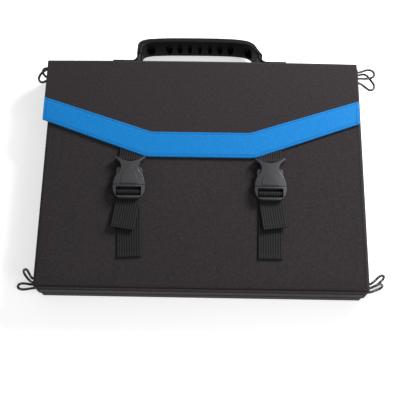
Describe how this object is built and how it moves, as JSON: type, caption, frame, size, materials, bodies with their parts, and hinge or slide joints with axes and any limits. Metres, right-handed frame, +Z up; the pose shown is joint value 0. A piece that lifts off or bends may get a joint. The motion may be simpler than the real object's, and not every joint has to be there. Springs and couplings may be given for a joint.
{
  "type": "folding solar blanket",
  "caption": "Folding solar blanket, folded and buckled in its fabric wrap, with a sewn flap band, side-release buckles, a moulded carry handle and corner cord loops.",
  "frame": {"origin": "centre of the rear panel's underside, which lies on the ground", "axes": "+X along the panels' long side, +Y towards the spine and its carry handle, +Z up through the stack of panels to the buckled front"},
  "size_m": [0.5859, 0.4539, 0.0588],
  "materials": {
    "case_fabric": "woven polyester, charcoal",
    "band_fabric": "woven polyester, bright blue",
    "webbing": "ribbed polypropylene webbing, black",
    "foam_board": "closed-cell foam board",
    "laminate": "glass-fibre backed laminate, fine texture",
    "solar_cell": "monocrystalline silicon under a clear film",
    "copper_wire": "flat copper cable, insulated",
    "buckle_plastic": "moulded acetal, satin black",
    "grip_rubber": "moulded soft rubber, black",
    "cord": "braided cord, black with a white fleck",
    "box_plastic": "moulded ABS, fine grain",
    "socket_metal": "nickel-plated contact shell"
  },
  "bodies": {
    "rear_panel": {"rear_cover": "case_fabric", "rear_board": "foam_board", "rear_laminate": "laminate", "rear_cells": "solar_cell", "rear_binding": "case_fabric", "loop_rear_lower_right": "cord", "loop_rear_lower_left": "cord"},
    "rear_gusset": {"rear_gusset_cover": "case_fabric", "rear_gusset_wires": "copper_wire"},
    "third_panel": {"third_cover": "case_fabric", "third_board": "foam_board", "third_laminate": "laminate", "third_cells": "solar_cell", "third_binding": "case_fabric"},
    "second_panel": {"second_cover": "case_fabric", "second_board": "foam_board", "second_laminate": "laminate", "second_cells": "solar_cell", "second_binding": "case_fabric", "junction_box_lid": "box_plastic", "junction_box_base": "box_plastic", "dc_socket": "socket_metal", "usb_socket": "socket_metal", "loop_second_upper_right": "cord", "loop_second_upper_left": "cord"},
    "front_gusset": {"front_gusset_cover": "case_fabric", "front_gusset_wires": "copper_wire"},
    "front_panel": {"front_cover": "case_fabric", "front_board": "foam_board", "front_laminate": "laminate", "front_cells": "solar_cell", "front_binding": "case_fabric", "buckle_male_left": "buckle_plastic", "buckle_male_right": "buckle_plastic", "adjusting_strap_left": "webbing", "adjusting_strap_right": "webbing", "loop_front_upper_right": "cord", "loop_front_lower_right": "cord", "loop_front_upper_left": "cord", "loop_front_lower_left": "cord"},
    "spine": {"spine_cover": "case_fabric", "spine_board": "foam_board", "handle_tab_left": "webbing", "handle_tab_right": "webbing"},
    "flap": {"flap_cover": "case_fabric", "flap_board": "foam_board", "flap_band": "band_fabric", "flap_strap_left": "webbing", "flap_strap_right": "webbing", "buckle_female_left": "buckle_plastic", "buckle_female_right": "buckle_plastic"},
    "handle": {"handle_grip": "grip_rubber", "handle_strap": "webbing"},
    "left_outer_arm": {"buckle_arm_left_outer": "buckle_plastic"},
    "left_inner_arm": {"buckle_arm_left_inner": "buckle_plastic"},
    "right_outer_arm": {"buckle_arm_right_outer": "buckle_plastic"},
    "right_inner_arm": {"buckle_arm_right_inner": "buckle_plastic"}
  },
  "joints": [
    {"name": "rear_gusset_fold", "type": "hinge", "parent": "rear_panel", "child": "rear_gusset", "pos_m": [0, -0.1984, 0.0004], "axis": [1, 0, 0], "range_deg": [0, 90]},
    {"name": "third_panel_fold", "type": "hinge", "parent": "rear_gusset", "child": "third_panel", "pos_m": [0, -0.1984, 0.0228], "axis": [1, 0, 0], "range_deg": [0, 90]},
    {"name": "second_panel_fold", "type": "hinge", "parent": "third_panel", "child": "second_panel", "pos_m": [0, 0.1954, 0.0236], "axis": [-1, 0, 0], "range_deg": [0, 180]},
    {"name": "front_gusset_fold", "type": "hinge", "parent": "second_panel", "child": "front_gusset", "pos_m": [0, -0.1984, 0.0244], "axis": [1, 0, 0], "range_deg": [0, 90]},
    {"name": "front_panel_fold", "type": "hinge", "parent": "front_gusset", "child": "front_panel", "pos_m": [0, -0.1984, 0.0468], "axis": [1, 0, 0], "range_deg": [0, 90]},
    {"name": "spine_fold", "type": "hinge", "parent": "rear_panel", "child": "spine", "pos_m": [0, 0.199, 0.0004], "axis": [-1, 0, 0], "range_deg": [0, 90]},
    {"name": "flap_fold", "type": "hinge", "parent": "spine", "child": "flap", "pos_m": [0, 0.199, 0.0506], "axis": [-1, 0, 0], "range_deg": [0, 90]},
    {"name": "handle_tilt", "type": "hinge", "parent": "spine", "child": "handle", "pos_m": [-0.0095, 0.204, 0.0332], "axis": [1, 0, 0], "range_deg": [-20, 60]},
    {"name": "left_outer_arm_squeeze", "type": "hinge", "parent": "front_panel", "child": "left_outer_arm", "pos_m": [-0.136, -0.0263, 0.0536], "axis": [0, 0, -1], "range_deg": [0, 4], "stiffness_Nm_per_rad": 1.9},
    {"name": "left_inner_arm_squeeze", "type": "hinge", "parent": "front_panel", "child": "left_inner_arm", "pos_m": [-0.1, -0.0263, 0.0536], "axis": [0, 0, 1], "range_deg": [0, 4], "stiffness_Nm_per_rad": 1.9},
    {"name": "right_outer_arm_squeeze", "type": "hinge", "parent": "front_panel", "child": "right_outer_arm", "pos_m": [0.126, -0.0263, 0.0536], "axis": [0, 0, 1], "range_deg": [0, 4], "stiffness_Nm_per_rad": 1.9},
    {"name": "right_inner_arm_squeeze", "type": "hinge", "parent": "front_panel", "child": "right_inner_arm", "pos_m": [0.09, -0.0263, 0.0536], "axis": [0, 0, -1], "range_deg": [0, 4], "stiffness_Nm_per_rad": 1.9}
  ],
  "couplings": [
    {"joint": "rear_gusset_fold", "follows": "third_panel_fold", "ratio": 1},
    {"joint": "second_panel_fold", "follows": "third_panel_fold", "ratio": 2},
    {"joint": "front_gusset_fold", "follows": "front_panel_fold", "ratio": 1},
    {"joint": "spine_fold", "follows": "flap_fold", "ratio": 1},
    {"joint": "left_inner_arm_squeeze", "follows": "left_outer_arm_squeeze", "ratio": 1},
    {"joint": "right_inner_arm_squeeze", "follows": "right_outer_arm_squeeze", "ratio": 1}
  ]
}
